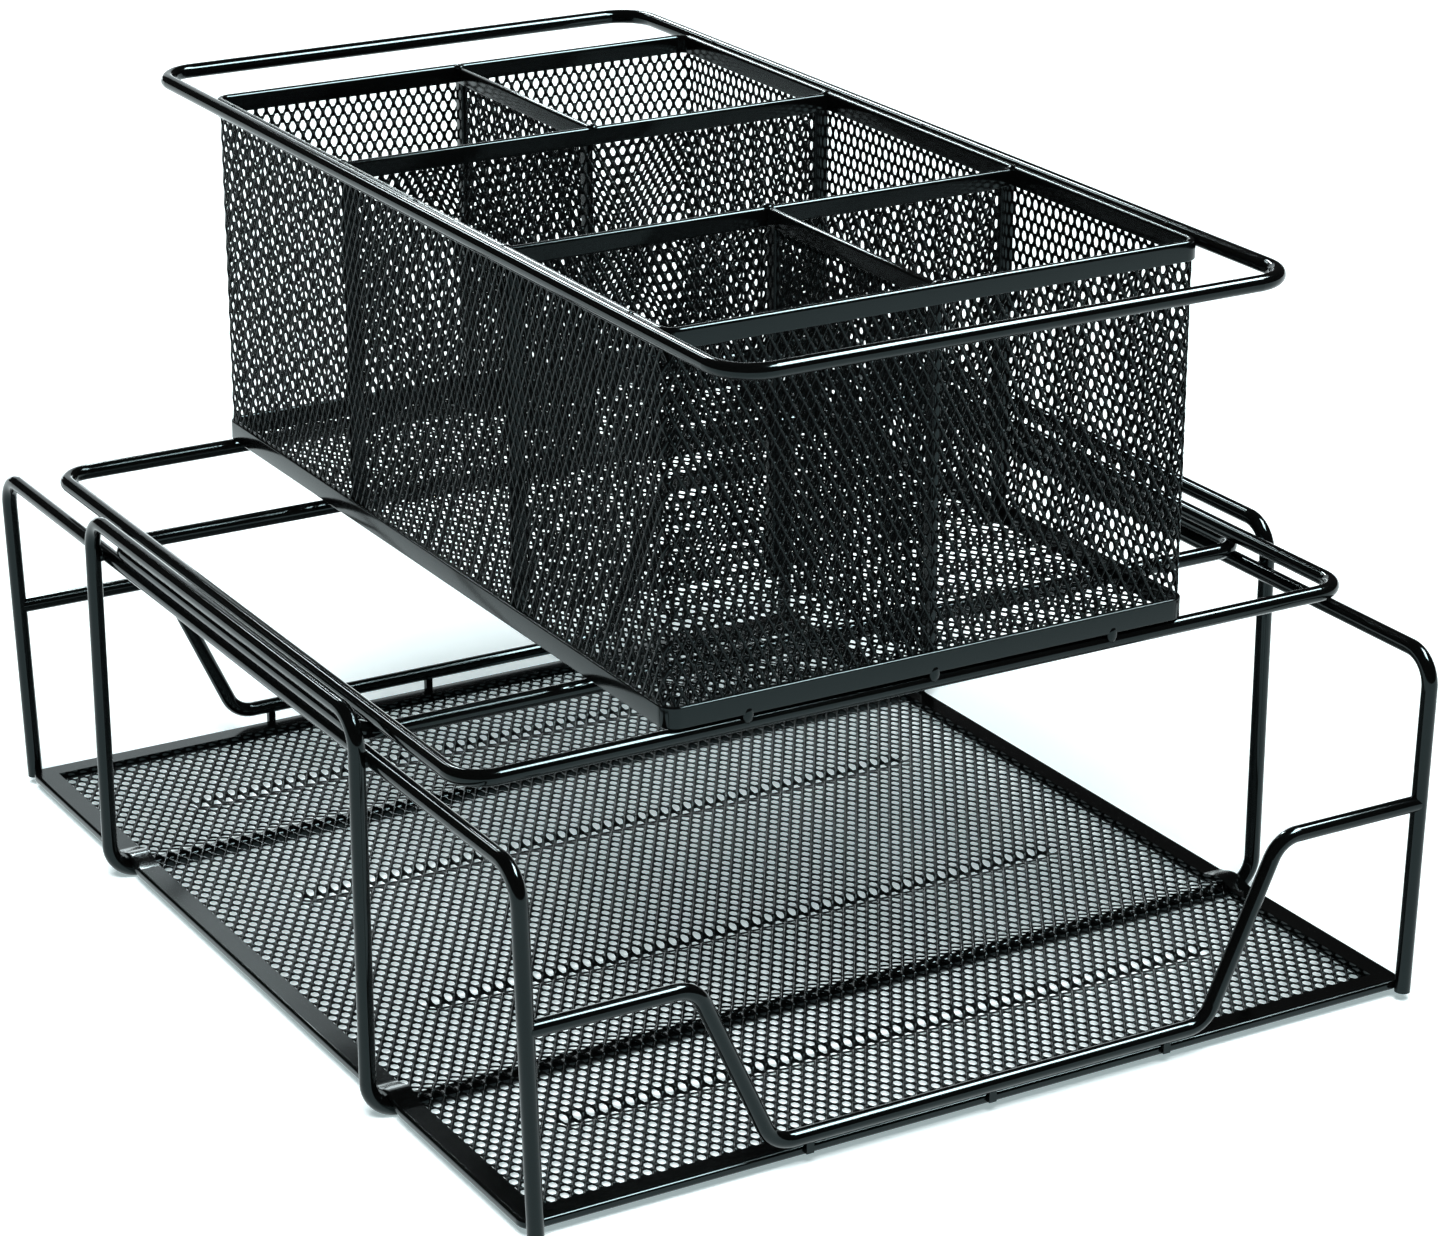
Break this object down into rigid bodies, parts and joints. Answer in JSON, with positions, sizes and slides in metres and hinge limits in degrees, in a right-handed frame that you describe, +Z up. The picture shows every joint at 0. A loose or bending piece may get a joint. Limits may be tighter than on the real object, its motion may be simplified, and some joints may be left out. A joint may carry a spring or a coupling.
{
  "type": "desk organizer",
  "caption": "Wire and expanded-mesh desk organizer: letter tray with dipped front and back wires, carrying a divided lift-off basket on a wire platform with a handle loop.",
  "frame": {"origin": "middle of the object at the height of the desk", "axes": "+Z up, +X to the right along the front, +Y from the front to the back"},
  "size_m": [0.2572, 0.3068, 0.1943],
  "materials": {
    "wire": "gloss",
    "folded_strip": "gloss",
    "expanded_mesh": "gloss"
  },
  "bodies": {
    "stand": {"side_wire_left": "wire", "side_wire_right": "wire", "scoop_wire_front": "wire", "scoop_wire_back": "wire", "stand_wire_left": "wire", "stand_wire_right": "wire", "support_frame": "wire", "tray_mesh": "expanded_mesh", "rail_welds": "wire", "tray_rim_front": "folded_strip", "tray_rim_back": "folded_strip", "tray_rim_left": "folded_strip", "tray_rim_right": "folded_strip", "tray_tabs_front": "wire", "tray_tabs_back": "wire"},
    "caddy": {"platform_loop": "wire", "handle_loop": "wire", "basket_rim": "folded_strip", "basket_band": "folded_strip", "basket_floor": "expanded_mesh", "handle_welds": "wire", "basket_wall_front": "expanded_mesh", "basket_wall_back": "expanded_mesh", "basket_wall_left": "expanded_mesh", "basket_wall_right": "expanded_mesh", "cross_divider_front": "expanded_mesh", "cross_divider_frame_front": "folded_strip", "cross_divider_back": "expanded_mesh", "cross_divider_frame_back": "folded_strip", "end_divider_front": "expanded_mesh", "end_divider_frame_front": "folded_strip", "end_divider_back": "expanded_mesh", "end_divider_frame_back": "folded_strip", "platform_tabs_front": "wire", "platform_tabs_back": "wire"}
  },
  "joints": [
    {"name": "caddy_lift", "type": "slide", "parent": "stand", "child": "caddy", "axis": [0, 0, 1], "range_m": [0, 0.08]}
  ]
}
